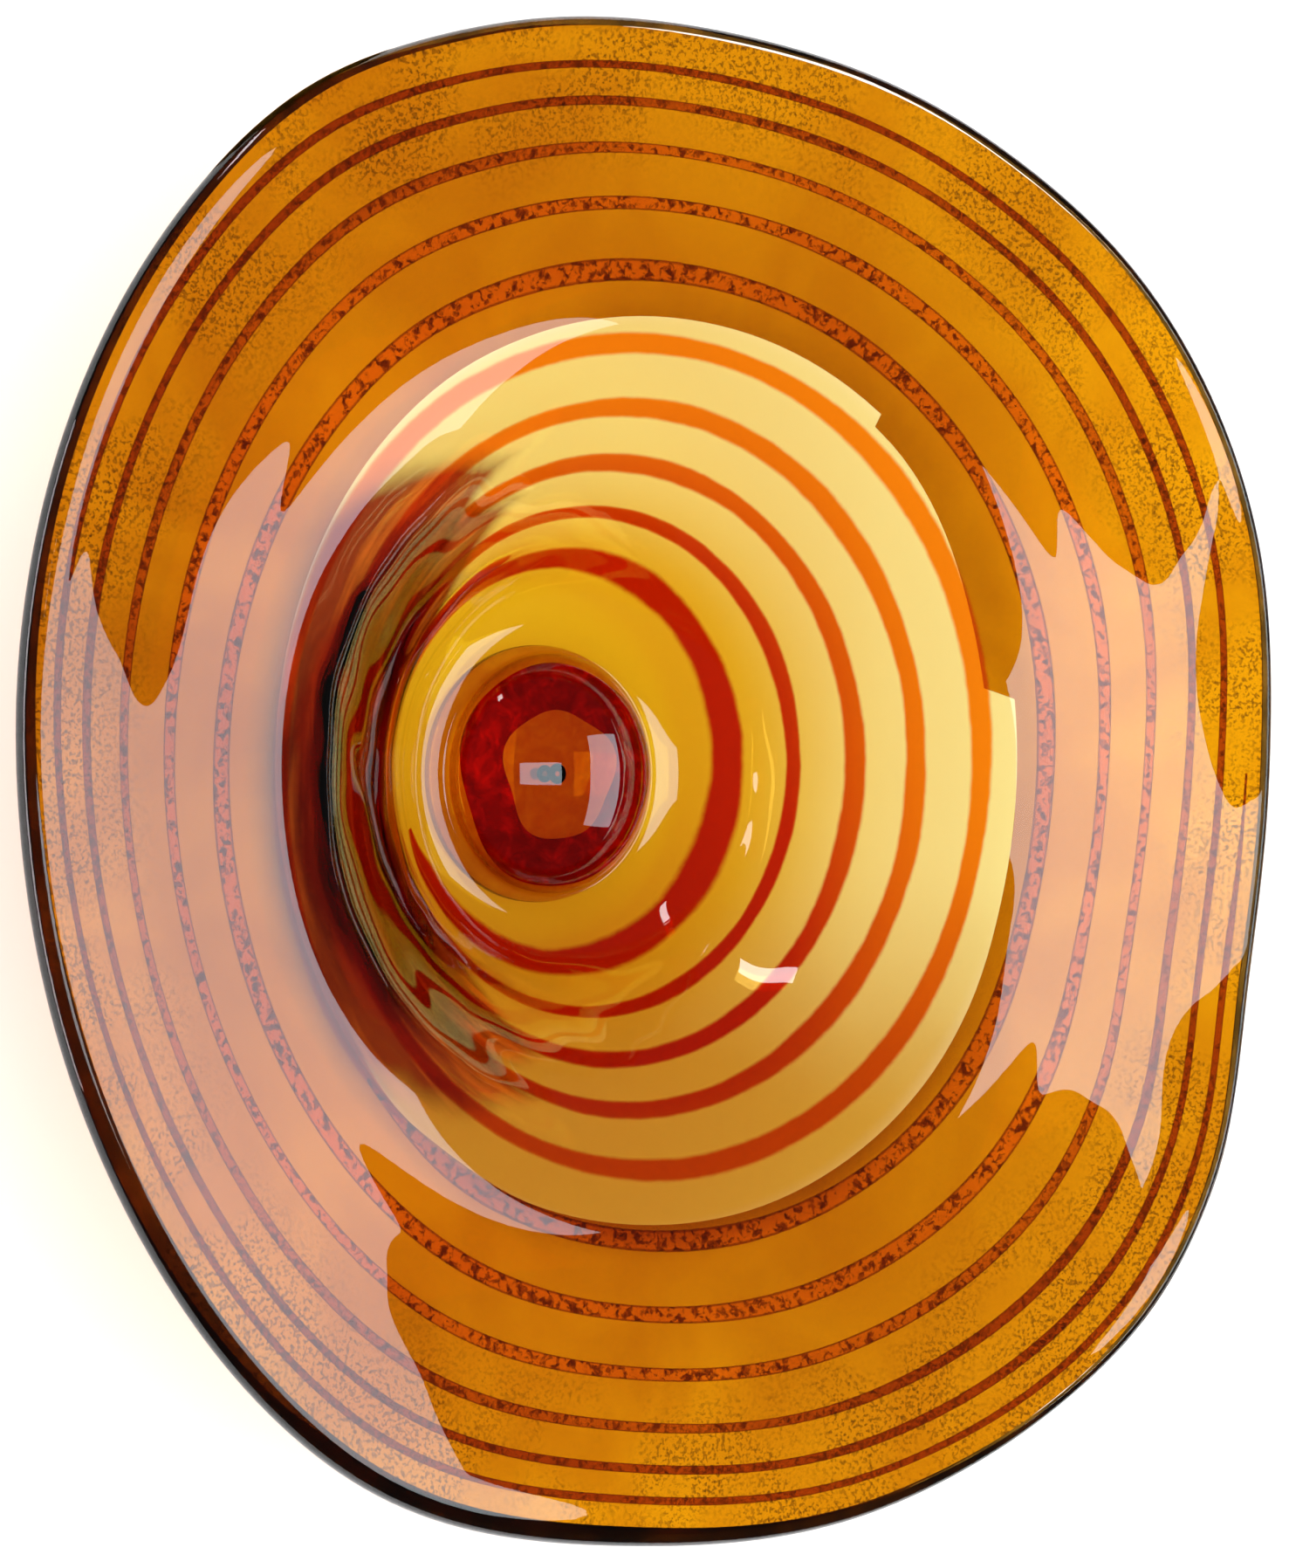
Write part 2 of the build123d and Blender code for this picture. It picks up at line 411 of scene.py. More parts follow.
def straw_glass():
    """Clear straw-yellow glass, deeper yellow low in the well, with painted amber shade over its -y side
    and a painted dark band where its near side is seen edge-on.
    """
    settings = bpy.context.scene.glass_bowl_wall
    n = Nodes("straw_glass")
    x, y, height = n.split(n.place())
    share = n.ramp(height, 0.016, 0.040)
    colour = n.mix(share, (*settings.deep_colour, 1), (*settings.straw_colour, 1))
    wide = n.noise(n.place(), 22.0, 2.0)
    # Painted shade: towards the -y side of the well the glass turns to the amber shade colour.
    across = n.math("ADD", y, n.math("MULTIPLY", x, 0.35))
    near = n.ramp(n.math("SUBTRACT", n.math("MULTIPLY", wide, 0.03), across), 0.0, 0.075)
    colour = n.mix(n.math("MULTIPLY", near, 0.9), colour, (*settings.shade_colour, 1))
    # Painted shade: a dark red-brown band with red streaks on the near (-x) side, where the thick wall and
    # its threads are seen edge-on.
    phi = n.math("ADD", n.math("ARCTAN2", y, n.math("MULTIPLY", x, -1.0)), 0.05)
    ends = n.math("COSINE", n.math("MULTIPLY", phi, BAND_NARROWING))
    half = n.math("MULTIPLY", ends, BAND_HALF, clamp=True)
    wander = n.math("MULTIPLY", n.math("SUBTRACT", n.noise(n.place(), 40.0, 3.0), 0.5), 0.006)
    off = n.math("ABSOLUTE", n.math("ADD", n.math("SUBTRACT", height, BAND_HEIGHT), wander))
    band = n.ramp(n.math("SUBTRACT", off, half), -0.004, 0.0005, 1.0, 0.0)
    run = n.add("ShaderNodeCombineXYZ")
    n.link(n.math("MULTIPLY", phi, 1.5), run.inputs[0])
    slant = n.math("ADD", height, n.math("MULTIPLY", phi, 0.0015))
    n.link(n.math("MULTIPLY", slant, 260.0), run.inputs[1])
    streaks = n.ramp(n.noise(run.outputs[0], 1.0, 3.0, 0.55), 0.50, 0.72)
    dark = n.mix(streaks, (*settings.edge_on_shade_colour, 1), (0.55, 0.06, 0.004, 1))
    front = n.ramp(x, -0.022, -0.004, 1.0, 0.0)
    colour = n.mix(n.math("MULTIPLY", band, front), colour, dark)
    clear = n.ramp(n.reach(), 0.086, 0.094)
    colour = n.mix(clear, colour, (0.985, 0.98, 0.96, 1))
    return n.glass(colour, CLEAR_IOR)


def amber_glass():
    """Amber glass with soft clouds and brown speckles towards the lip."""
    settings = bpy.context.scene.glass_bowl_brim
    n = Nodes("amber_glass")
    clouds = n.noise(n.place(), 26.0, 3.0, 0.5, 0.6)
    colour = n.mix(n.ramp(clouds, 0.3, 0.7), (*settings.amber_deep, 1), (*settings.amber_light, 1))
    broad = n.ramp(n.noise(n.place(), 7.0, 1.0), 0.40, 0.68)
    colour = n.mix(n.math("MULTIPLY", broad, 0.45), colour, (0.36, 0.11, 0.0005, 1))
    grain = n.noise(n.place(), 1150.0, 1.0, 0.5)
    zone = n.ramp(n.reach(), 0.108, 0.134)
    patches = n.ramp(n.noise(n.place(), 45.0, 2.0), 0.32, 0.58)
    specks = n.math("MULTIPLY", n.ramp(grain, 0.54, 0.64), n.math("MULTIPLY", zone, patches))
    colour = n.mix(n.math("MULTIPLY", specks, 0.85), colour, (0.10, 0.025, 0.001, 1))
    return n.glass(colour, SHUT_IN_IOR)


def across_thread(n):
    """How far across the thread a place is: 0 in the middle and 1 at either side."""
    uv = n.add("ShaderNodeUVMap", uv_map="thread")
    return n.math("ABSOLUTE", n.split(uv.outputs[0])[0])


def orange_thread():
    """Orange thread with soft sides, red towards the foot, and redder again on the -y side by painted
    shade.
    """
    settings = bpy.context.scene.glass_bowl_threads
    n = Nodes("orange_thread")
    side = across_thread(n)
    height = n.split(n.place())[2]
    y = n.split(n.place())[1]
    # Red towards the foot, plus painted shade: the thread also turns towards red on the well's -y side.
    low = n.math("ADD", n.ramp(height, 0.018, 0.050), n.ramp(y, -0.07, 0.01, -0.55, 0.0), clamp=True)
    core = n.mix(low, (*settings.red, 1), (*settings.orange, 1))
    wisps = n.noise(n.place(), 180.0, 3.0, 0.6)
    edge = n.math("ADD", side, n.math("MULTIPLY", n.math("SUBTRACT", wisps, 0.5), 0.25))
    colour = n.mix(n.ramp(edge, 0.62, 0.98), core, (1, 1, 1, 1))
    return n.glass(colour, SHUT_IN_IOR)


def mottled_thread():
    """Red-brown thread mottled with orange, dark along its sides."""
    settings = bpy.context.scene.glass_bowl_threads
    n = Nodes("mottled_thread")
    side = across_thread(n)
    blotches = n.noise(n.place(), 620.0, 2.0, 0.6, 0.4)
    dark = n.ramp(blotches, 0.50, 0.62)
    outer = n.ramp(n.reach(), 0.112, 0.134)
    bright = n.mix(outer, (*settings.mottle_bright, 1), (*settings.mottle_dull, 1))
    colour = n.mix(dark, bright, (*settings.mottle_dark, 1))
    rim = n.math("MULTIPLY", n.ramp(side, 0.62, 0.8), n.ramp(side, 0.9, 1.0, 1.0, 0.0))
    colour = n.mix(n.math("MULTIPLY", rim, 0.65), colour, (*settings.mottle_dark, 1))
    fade = n.ramp(n.math("ADD", side, n.math("MULTIPLY", blotches, 0.25)), 1.0, 1.12)
    colour = n.mix(fade, colour, (1, 1, 1, 1))
    return n.glass(colour, SHUT_IN_IOR)


def olive_glass():
    """Dark olive-brown glass."""
    settings = bpy.context.scene.glass_bowl_brim
    n = Nodes("olive_glass")
    clouds = n.noise(n.place(), 90.0, 3.0, 0.6)
    light = tuple(min(1.0, c * 2.6) for c in settings.lip_colour)
    colour = n.mix(n.ramp(clouds, 0.35, 0.7), (*settings.lip_colour, 1), (*light, 1))
    return n.glass(colour, SHUT_IN_IOR)


def button_glass():
    """Amber glass of the domed button, its colour varied in fine wrinkles."""
    settings = bpy.context.scene.glass_bowl_base
    n = Nodes("button_glass")
    wrinkles = n.noise(n.place(), 240.0, 4.0, 0.55, 1.5)
    bump = n.add("ShaderNodeBump")
    bump.inputs["Strength"].default_value = 0.12
    bump.inputs["Distance"].default_value = 0.0006
    n.link(wrinkles, bump.inputs["Height"])
    colour = n.mix(n.ramp(wrinkles, 0.3, 0.7), (*settings.button_colour, 1), (0.95, 0.65, 0.05, 1))
    return n.glass(colour, SHUT_IN_IOR, normal=bump.outputs[0])


def red_glass():
    """Deep red glass."""
    settings = bpy.context.scene.glass_bowl_base
    n = Nodes("red_glass")
    clouds = n.noise(n.place(), 220.0, 3.0, 0.6, 0.8)
    brighter = tuple(min(1.0, c * 2.2 + 0.01) for c in settings.collar_colour)
    colour = n.mix(n.ramp(clouds, 0.4, 0.75), (*settings.collar_colour, 1), (*brighter, 1))
    return n.glass(colour, SHUT_IN_IOR)


def foot_glass():
    """Amber glass of the foot, ground on its flat face."""
    settings = bpy.context.scene.glass_bowl_base
    n = Nodes("foot_glass")
    height = n.split(n.place())[2]
    ground = n.ramp(height, 0.0001, 0.0004, 0.35, 0.0)
    swirl = n.noise(n.place(), 120.0, 3.0, 0.6, 1.0)
    colour = n.mix(n.ramp(swirl, 0.3, 0.7), (*settings.foot_colour, 1), (0.93, 0.75, 0.3, 1))
    return n.glass(colour, CLEAR_IOR, roughness=ground)


# ------------------------------------------------------------------ what a user may change
def colour_setting(name, description, default):
    """A colour that the user may change."""
    return bpy.props.FloatVectorProperty(
        name=name, description=description, subtype="COLOR", default=default, min=0, max=1
    )


class GlassBowlWall(bpy.types.PropertyGroup):
    """The clear wall."""

    segments: bpy.props.IntProperty(
        name="Segments",
        description="Facets round the bowl before smoothing",
        default=72,
        min=24,
        max=144,
    )
    unevenness: bpy.props.FloatProperty(
        name="Unevenness",
        description="How far the blown wall wanders from a true turned one",
        default=0.5 * MM,
        min=0.0,
        max=0.002,
        subtype="DISTANCE",
        unit="LENGTH",
    )
    straw_colour: colour_setting("Straw", "Glass high in the well", (0.80, 0.75, 0.30))
    deep_colour: colour_setting("Deep yellow", "Glass low in the well", (0.68, 0.48, 0.02))
    # Painted shade over the well's -y side, laid into the glass colour.
    shade_colour: colour_setting("Painted shade", "Painted shade over the well's -y side", (0.52, 0.29, 0.010))
    # Painted shade: the dark look of the thick wall seen edge-on.
    edge_on_shade_colour: colour_setting("Dark band", "Red-brown band in the well's near side", (0.10, 0.004, 0.001))


class GlassBowlBrim(bpy.types.PropertyGroup):
    """The amber brim and its edge."""

    amber_light: colour_setting("Light amber", "Paler clouds of the amber", (0.62, 0.27, 0.001))
    amber_deep: colour_setting("Deep amber", "Deeper clouds of the amber", (0.50, 0.185, 0.0005))
    lip_colour: colour_setting("Lip", "Dark thread in the lip", (0.07, 0.035, 0.004))


class GlassBowlThreads(bpy.types.PropertyGroup):
    """The spiral threads."""

    orange: colour_setting("Orange", "Well thread, high up", (0.96, 0.30, 0.01))
    # Also used as the painted shade on the thread's -y side.
    red: colour_setting("Red", "Well thread near the foot", (0.62, 0.03, 0.004))
    mottle_bright: colour_setting("Bright mottle", "Brim thread, bright spots", (1.0, 0.52, 0.2))
    mottle_dull: colour_setting("Dull mottle", "Brim thread near the lip", (0.50, 0.15, 0.06))
    mottle_dark: colour_setting("Dark mottle", "Brim thread, dark blotches", (0.22, 0.06, 0.03))


class GlassBowlBase(bpy.types.PropertyGroup):
    """The button, collar and foot."""

    button_colour: colour_setting("Button", "Domed button", (0.85, 0.42, 0.01))
    collar_colour: colour_setting("Collar", "Ring of red glass", (0.38, 0.003, 0.002))
    foot_colour: colour_setting("Foot", "Foot disc", (0.85, 0.6, 0.15))


# ------------------------------------------------------------------ the pieces
LIP_RADIUS = 2.5
LIP_HEAVY = 0.6
LIP_OUT = 0.75
LIP_HEAVY_OUT = 2.6
HEAVY_BEARING = 236.0
HEAVY_SPREAD = 69
DOME_REACH = 23.9
DOME_HEIGHT = 9.9
THREAD_AROUND = 12


def lip_weight(angle):
    """How heavy the lip is: 1 where the glass sagged into it, 0 over most of the brim."""
    off = turned(angle, HEAVY_BEARING)
    if abs(off) >= HEAVY_SPREAD:
        return 0.0
    return max(0.0, math.cos(math.radians(off * 1.3)))


def lip_centre(angle):
    """Middle of the bead at the edge of the brim, the ways out and down across it, and its radius."""
    middle = full_thickness(EDGE_TURN) / 2
    inward = wall_point(angle, EDGE_TURN, middle)
    edge = wall_point(angle, EDGE_TURN + 0.1, middle)
    out = (edge - inward).normalized()
    down = (wall_point(angle, EDGE_TURN, middle + 1.0) - inward).normalized()
    heavy = lip_weight(angle)
    radius = (LIP_RADIUS + LIP_HEAVY * heavy) * MM
    return edge + out * ((LIP_OUT + LIP_HEAVY_OUT * heavy) * MM), out, down, radius


class OBJECT_OT_glass_bowl_wall(bpy.types.Operator):
    """Lathe the clear wall: floor, well, brim and rounded lip"""

    bl_idname = "object.glass_bowl_wall"
    bl_label = "Wall"

    def execute(self, context):
        segments = context.scene.glass_bowl_wall.segments
        step = 0.2
        steps = round((EDGE_TURN - 0.3 - FLOOR_TURN) / step)
        climb = [FLOOR_TURN + step * i for i in range(1, steps + 1)]
        floor_reaches = [0.5, 9.0, 16.0, 20.5]
        floor_height = INNER_FACE[0][2]
        dome = []
        for tilt in (1.3, 7, 14, 21, 28, 35, 42, 49, 56, 63, 70, 77, 83):
            a = math.radians(tilt)
            dome.append((DOME_REACH * math.sin(a), floor_height - 0.2 + DOME_HEIGHT * math.cos(a)))
        dome += [(DOME_REACH + 0.3, floor_height + 0.3), (DOME_REACH + 0.9, floor_height + 0.05)]
        under = floor_height - full_thickness(FLOOR_TURN)
        rolls = [0.5 - 1.0 * i / 8 for i in range(9)]

        def place(share, ring):
            angle = 360.0 * share
            a = 2 * math.pi * share
            if ring < len(dome):
                return warp(a, dome[ring][0], dome[ring][1], FLOOR_TURN)
            ring -= len(dome)
            if ring < len(climb):
                return wall_point(angle, climb[ring], 0.0)
            ring -= len(climb)
            if ring < len(rolls):
                centre, out, down, radius = lip_centre(angle)
                roll = math.pi * rolls[ring]
                return centre + (out * math.cos(roll) - down * math.sin(roll)) * radius
            ring -= len(rolls)
            if ring < len(climb):
                turn = climb[-1 - ring]
                return wall_point(angle, turn, full_thickness(turn))
            ring -= len(climb)
            return warp(a, floor_reaches[-1 - ring], under, FLOOR_TURN)

        rings = len(dome) + len(floor_reaches) + 2 * len(climb) + len(rolls)
        wall = ring_tube("wall", segments, rings)
        shape_rings(wall, segments, place)
        close_ends(wall, segments)
        finish(wall, 2, straw_glass(), "straw_glass", "bowl_wall")
        return {"FINISHED"}


def amber_edge(angle):
    """Turn at which the amber starts, with its two small steps."""
    edge = -0.17 + 0.07 * math.cos(math.radians(turned(angle, 135.0)))
    if 12.0 < angle < 54.0:
        edge -= 0.42 - 0.24 * smooth_step(14.0, 53.0, angle)
    return edge


class OBJECT_OT_glass_bowl_amber(bpy.types.Operator):
    """Lay the amber layer over the brim, with its stepped inner edge"""

    bl_idname = "object.glass_bowl_amber"
    bl_label = "Amber layer"

    def execute(self, context):
        segments = context.scene.glass_bowl_wall.segments * 2
        steps = 24
        top = 0.62
        bottom = 0.80

        def bearing(share):
            angle = 360.0 * share
            for stop in (12.0, 54.0):
                if abs(angle - stop) < 1.6:
                    angle = stop - 0.25 if angle < stop else stop + 0.25
            return angle

        def place(share, ring):
            angle = bearing(share)
            start = amber_edge(angle)
            end = EDGE_TURN - 0.05
            if ring <= steps:
                turn = start + (end - start) * ring / steps
                return wall_point(angle, turn, full_thickness(turn) * top)
            if ring <= steps + 2:
                centre, out, down, radius = lip_centre(angle)
                return centre + out * (0.2 * MM) + down * ((0.2 if ring == steps + 1 else 1.0) * MM)
            back = ring - steps - 3
            turn = end + (start - end) * back / steps
            return wall_point(angle, turn, full_thickness(turn) * bottom)

        layer = ring_tube("amber_layer", segments, 2 * steps + 4)
        shape_rings(layer, segments, place)
        join_ends(layer, segments)
        finish(layer, 0, amber_glass(), "amber_glass", "amber_overlay")
        return {"FINISHED"}


WELL_THREAD_TURNS = (-5.2, -0.12)
WELL_THREAD_WIDTHS = [
    (-6.0, 7.5),
    (-4.6, 7.6),
    (-3.9, 4.2),
    (-3.0, 5.2),
    (-2.0, 5.2),
    (-0.6, 5.6),
    (0.0, 5.0),
]
BRIM_THREAD_TURNS = (-0.14, 5.25)
BRIM_THREAD_WIDTHS = [(-0.2, 5.0), (0.6, 4.4), (1.5, 3.2), (2.5, 2.5), (4.0, 1.9), (5.5, 1.8)]


def thread(name, turns, widths, depth, thickness, step):
    """A flattened thread wound in a spiral inside the wall; depth is a share of the wall's."""
    start, end = turns
    rings = round((end - start) * 360.0 / step) + 1
    obj = ring_tube(name, THREAD_AROUND, rings)

    def place(share, ring):
        turn = start + (end - start) * ring / (rings - 1)
        angle = 270.0 + 360.0 * turn
        reach = along(INNER_FACE, turn + 0.1) - along(INNER_FACE, turn - 0.1)
        climb = along(INNER_FACE, turn + 0.1, 2) - along(INNER_FACE, turn - 0.1, 2)
        pitch = math.hypot(reach, climb) / 0.2
        to_end = min(turn - start, end - turn)
        half = along(widths, turn) / 2 / pitch * (0.25 + 0.75 * smooth_step(0.0, 0.05, to_end))
        half *= 1.0 + 0.07 * math.sin(angle / 17.0) + 0.05 * math.sin(angle / 7.3 + 1.0)
        a = 2 * math.pi * share
        middle = full_thickness(turn) * depth
        return wall_point(angle % 360.0, turn + half * math.cos(a), middle + thickness / 2 * math.sin(a))

    shape_rings(obj, THREAD_AROUND, place)
    close_ends(obj, THREAD_AROUND)
    layer = obj.data.uv_layers.new(name="thread")
    last = rings * THREAD_AROUND
    for loop in obj.data.loops:
        i = loop.vertex_index
        side = math.cos(2 * math.pi * (i % THREAD_AROUND) / THREAD_AROUND) if i < last else 0.0
        layer.data[loop.index].uv = (side, i // THREAD_AROUND / rings)
    return obj


class OBJECT_OT_glass_bowl_well_thread(bpy.types.Operator):
    """Wind the orange-red thread round the well"""

    bl_idname = "object.glass_bowl_well_thread"
    bl_label = "Well thread"

    def execute(self, context):
        obj = thread("well_thread", WELL_THREAD_TURNS, WELL_THREAD_WIDTHS, 0.78, 1.2, 5.0)
        finish(obj, 1, orange_thread(), "orange_thread", "well_trail")
        return {"FINISHED"}


class OBJECT_OT_glass_bowl_brim_thread(bpy.types.Operator):
    """Wind the mottled thread round the brim"""

    bl_idname = "object.glass_bowl_brim_thread"
    bl_label = "Brim thread"

    def execute(self, context):
        obj = thread("brim_thread", BRIM_THREAD_TURNS, BRIM_THREAD_WIDTHS, 0.91, 0.5, 4.0)
        finish(obj, 1, mottled_thread(), "mottled_thread", "brim_trail")
        return {"FINISHED"}


class OBJECT_OT_glass_bowl_lip(bpy.types.Operator):
    """Melt the dark thread into the edge of the brim"""

    bl_idname = "object.glass_bowl_lip"
    bl_label = "Lip thread"

    def execute(self, context):
        around = 16
        rings = context.scene.glass_bowl_wall.segments * 2
        obj = ring_tube("lip_thread", around, rings)

        def place(share, ring):
            angle = 360.0 * ring / rings
            centre, out, down, radius = lip_centre(angle)
            wrap = math.radians(72.0 + 48.0 * lip_weight(angle))
            half = around // 2
            i = round(share * around)
            if i < half:
                roll = wrap * (2.0 * i / (half - 1) - 1.0)
                reach = radius * 0.93
            else:
                roll = wrap * (1.0 - 2.0 * (i - half) / (half - 1))
                reach = radius * 0.55
            return centre + (out * math.cos(roll) + down * math.sin(roll)) * reach

        shape_rings(obj, around, place)
        join_ends(obj, around)
        finish(obj, 1, olive_glass(), "olive_lip", "lip_wrap")
        return {"FINISHED"}


def lathe(name, outline, segments, levels, material, slot, *nodes):
    """A solid turned about the axis from (reach, height) points in mm, the first and last near the axis."""
    obj = ring_tube(name, segments, len(outline))

    def place(share, ring):
        a = 2 * math.pi * share
        reach, height = outline[ring]
        return Vector((reach * math.cos(a), reach * math.sin(a), height)) * MM

    shape_rings(obj, segments, place)
    close_ends(obj, segments)
    finish(obj, levels, material, slot, *nodes)
    return obj


class OBJECT_OT_glass_bowl_button(bpy.types.Operator):
    """Turn the domed button in the middle of the floor"""

    bl_idname = "object.glass_bowl_button"
    bl_label = "Button"

    def execute(self, context):
        low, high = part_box("base_button")
        base = low.z / MM
        dome = high.z / MM - base - 0.1
        reach = high.x / MM - 0.1
        outline = []
        for i in range(16):
            tilt = math.radians(1.5 + 88.5 * i / 15)
            outline.append((reach * math.sin(tilt), base + dome * math.cos(tilt)))
        under = base - 0.35
        outline += [(reach * 0.98, base - 0.3), (reach * 0.9, under), (reach * 0.5, under), (0.5, under)]
        lathe("button", outline, 64, 2, button_glass(), "button_glass", "base_button")
        return {"FINISHED"}


class OBJECT_OT_glass_bowl_collar(bpy.types.Operator):
    """Turn the ring of red glass shut in under the button"""

    bl_idname = "object.glass_bowl_collar"
    bl_label = "Red collar"

    def execute(self, context):
        low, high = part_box("red_collar")
        outer = high.x / MM + 0.6
        inner = 11.8
        middle = (outer + inner) / 2
        half = (outer - inner) / 2
        around = 12
        rings = 72
        obj = ring_tube("red_collar_ring", around, rings)
        height = low.z / MM + 1.2

        def place(share, ring):
            a = 2 * math.pi * ring / rings
            roll = 2 * math.pi * share
            wobble = 1.0 + 0.04 * math.sin(3 * a + 0.5) + 0.03 * math.sin(5 * a)
            reach = middle * wobble + half * math.cos(roll)
            return Vector((reach * math.cos(a), reach * math.sin(a), height + 1.0 * math.sin(roll))) * MM

        shape_rings(obj, around, place)
        join_ends(obj, around)
        finish(obj, 1, red_glass(), "red_glass", "red_collar")
        return {"FINISHED"}


class OBJECT_OT_glass_bowl_foot(bpy.types.Operator):
    """Turn the flat foot"""

    bl_idname = "object.glass_bowl_foot"
    bl_label = "Foot"

    def execute(self, context):
        low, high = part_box("foot_pad")
        reach = high.x / MM
        top = high.z / MM + 0.3
        outline = [
            (1.0, top),
            (reach * 0.5, top),
            (reach - 1.6, top),
            (reach - 0.8, top - 0.15),
            (reach, top - 1.2),
            (reach, 1.5),
            (reach - 0.4, 0.4),
            (reach - 1.4, 0.0),
            (reach - 2.2, 0.0),
            (reach * 0.5, 0.0),
            (1.0, 0.0),
        ]
        lathe("foot", outline, 64, 2, foot_glass(), "foot_glass", "foot_pad")
        return {"FINISHED"}


# ------------------------------------------------------------------ the stage
VIEW_TILT = math.radians(33.0)
VIEW_DISTANCE = 0.9
ROOM_SEEN = 1.7
ROOM_IN_GLASS = 0.05
LENS = 102.8


def plain_material(name, colour, roughness):
    n = Nodes(name)
    shader = n.add("ShaderNodeBsdfPrincipled")
    shader.inputs["Base Color"].default_value = (*colour, 1)
    shader.inputs["Roughness"].default_value = roughness
    out = n.add("ShaderNodeOutputMaterial")
    n.link(shader.outputs[0], out.inputs["Surface"])
    return n.material


def soft_box(name, location, aim, size, power, colour=(1, 1, 1)):
    """A rectangular lamp that points at a place."""
    data = bpy.data.lights.new(name, "AREA")
    data.shape = "RECTANGLE"
    data.size, data.size_y = size
    data.energy = power
    data.color = colour
    lamp = bpy.data.objects.new(name, data)
    bpy.context.scene.collection.objects.link(lamp)
    lamp.location = location
    way = Vector(aim) - Vector(location)
    lamp.rotation_euler = way.to_track_quat("-Z", "Y").to_euler()
    return lamp


class OBJECT_OT_glass_bowl_stage(bpy.types.Operator):
    """Set up the pale floor, the lamps and the camera"""

    bl_idname = "object.glass_bowl_stage"
    bl_label = "Stage"

    def execute(self, context):
        scene = context.scene
        bpy.ops.object.select_all(action="DESELECT")
        below = (0, 0, -0.0002)
        bpy.ops.mesh.primitive_circle_add(vertices=64, radius=6.0, fill_type="NGON", location=below)
        floor = context.active_object
        floor.name = "floor"
        floor.data.materials.append(plain_material("floor_white", (0.93, 0.93, 0.93), 0.9))

        # The room is bright as a backdrop and to the floor, and dim in the glass's reflections.
        world = bpy.data.worlds.new("studio")
        world.use_nodes = True
        tree = world.node_tree
        room = tree.nodes["Background"]
        room.inputs["Color"].default_value = (1.0, 1.0, 1.0, 1)
        path = tree.nodes.new("ShaderNodeLightPath")
        level = tree.nodes.new("ShaderNodeMapRange")
        level.inputs["To Min"].default_value = ROOM_IN_GLASS
        level.inputs["To Max"].default_value = ROOM_SEEN
        seen = tree.nodes.new("ShaderNodeMath")
        seen.operation = "MAXIMUM"
        tree.links.new(path.outputs["Is Diffuse Ray"], seen.inputs[0])
        tree.links.new(path.outputs["Is Camera Ray"], seen.inputs[1])
        tree.links.new(seen.outputs[0], level.inputs["Value"])
        tree.links.new(level.outputs["Result"], room.inputs["Strength"])
        scene.world = world
        scene.view_settings.view_transform = "Standard"

        cool = (0.8, 0.96, 1.05)
        soft_box("low_box", (1.15, -0.075, 0.96), (0.0, -0.075, -0.03), (0.86, 0.48), 5.9, cool)
        soft_box("side_box", (-1.2, 0.05, 0.27), (0.0, 0.0, 0.02), (1.5, 0.24), 9.0, (1.0, 0.93, 0.97))
        soft_box("far_box", (-0.336, 1.255, 0.75), (0.0, 0.0, 0.03), (0.1, 0.5), 1.9)
        soft_box("high_box", (0.43, 0.0, 1.5), (0.43, 0.0, 0.0), (0.62, 0.24), 2.6, cool)

        camera = bpy.data.objects.new("camera", bpy.data.cameras.new("camera"))
        scene.collection.objects.link(camera)
        camera.data.lens = LENS
        camera.data.sensor_width = 36.0
        look = Vector((math.sin(VIEW_TILT), 0, -math.cos(VIEW_TILT)))
        side = Vector((math.cos(VIEW_TILT), 0, math.sin(VIEW_TILT)))
        up = Vector((0, 1, 0))
        camera.location = -look * VIEW_DISTANCE
        look = (look + side * 0.0278 - up * 0.0023).normalized()
        side = look.cross(up).normalized()
        up = side.cross(look)
        turn = Matrix((side, up, -look)).transposed()
        camera.rotation_euler = turn.to_euler()
        scene.camera = camera
        return {"FINISHED"}


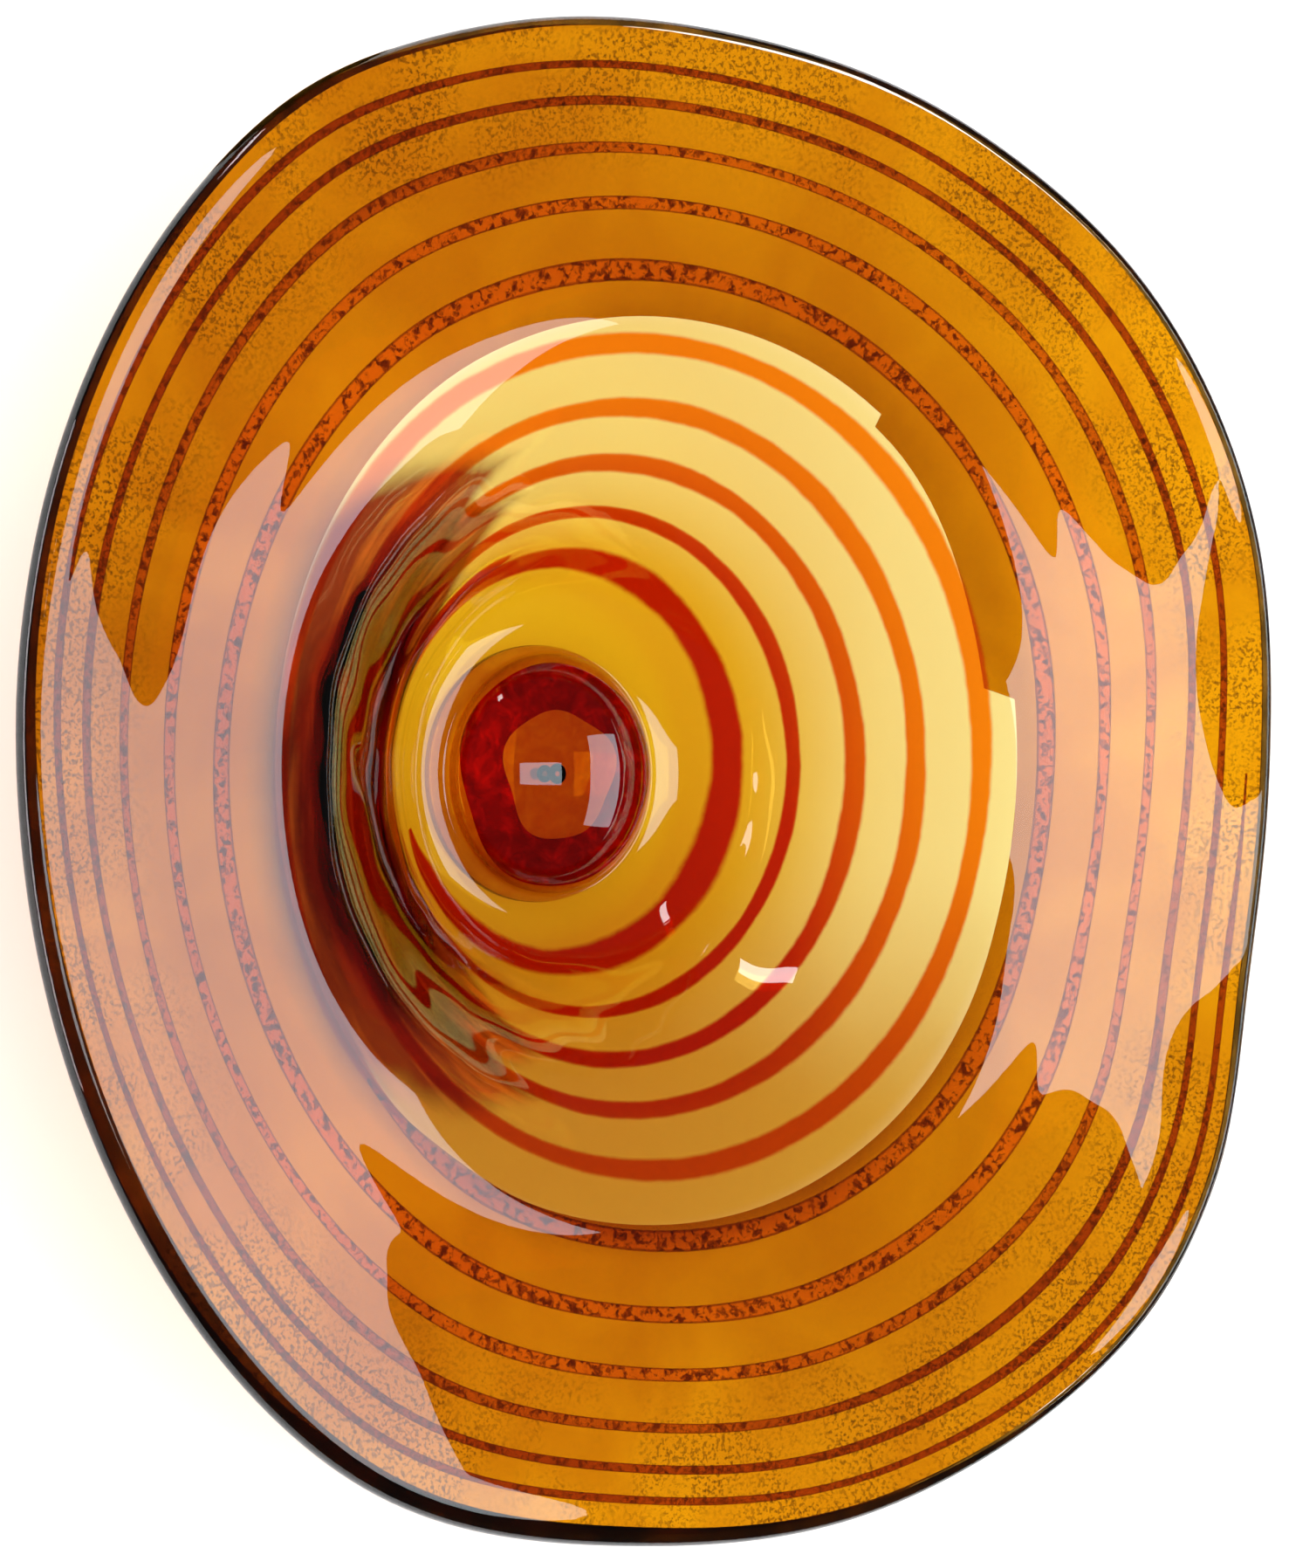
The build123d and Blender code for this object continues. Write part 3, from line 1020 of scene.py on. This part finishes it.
class VIEW3D_PT_glass_bowl(bpy.types.Panel):
    """Builds the bowl piece by piece"""

    bl_idname = "VIEW3D_PT_glass_bowl"
    bl_label = "Glass Bowl"
    bl_space_type = "VIEW_3D"
    bl_region_type = "UI"
    bl_category = "Glass Bowl"

    def draw(self, context):
        layout = self.layout
        for group in SETTINGS:
            box = layout.box()
            for name in getattr(group[1], "__annotations__", {}):
                box.prop(getattr(context.scene, group[0]), name)
        for piece in PIECES:
            layout.operator(piece.bl_idname)
        layout.operator(OBJECT_OT_glass_bowl_stage.bl_idname)


SETTINGS = [
    ("glass_bowl_wall", GlassBowlWall),
    ("glass_bowl_brim", GlassBowlBrim),
    ("glass_bowl_threads", GlassBowlThreads),
    ("glass_bowl_base", GlassBowlBase),
]
PIECES = [
    OBJECT_OT_glass_bowl_wall,
    OBJECT_OT_glass_bowl_amber,
    OBJECT_OT_glass_bowl_well_thread,
    OBJECT_OT_glass_bowl_brim_thread,
    OBJECT_OT_glass_bowl_lip,
    OBJECT_OT_glass_bowl_button,
    OBJECT_OT_glass_bowl_collar,
    OBJECT_OT_glass_bowl_foot,
]


def register():
    for name, group in SETTINGS:
        bpy.utils.register_class(group)
        setattr(bpy.types.Scene, name, bpy.props.PointerProperty(type=group))
    for piece in PIECES:
        bpy.utils.register_class(piece)
    bpy.utils.register_class(OBJECT_OT_glass_bowl_stage)
    bpy.utils.register_class(VIEW3D_PT_glass_bowl)


def unregister():
    bpy.utils.unregister_class(VIEW3D_PT_glass_bowl)
    bpy.utils.unregister_class(OBJECT_OT_glass_bowl_stage)
    for piece in reversed(PIECES):
        bpy.utils.unregister_class(piece)
    for name, group in reversed(SETTINGS):
        delattr(bpy.types.Scene, name)
        bpy.utils.unregister_class(group)


def main():
    """Builds the stage and then every piece."""
    register()
    bpy.ops.object.glass_bowl_stage()
    bpy.ops.object.glass_bowl_wall()
    bpy.ops.object.glass_bowl_amber()
    bpy.ops.object.glass_bowl_well_thread()
    bpy.ops.object.glass_bowl_brim_thread()
    bpy.ops.object.glass_bowl_lip()
    bpy.ops.object.glass_bowl_button()
    bpy.ops.object.glass_bowl_collar()
    bpy.ops.object.glass_bowl_foot()


if __name__ == "__main__":
    main()
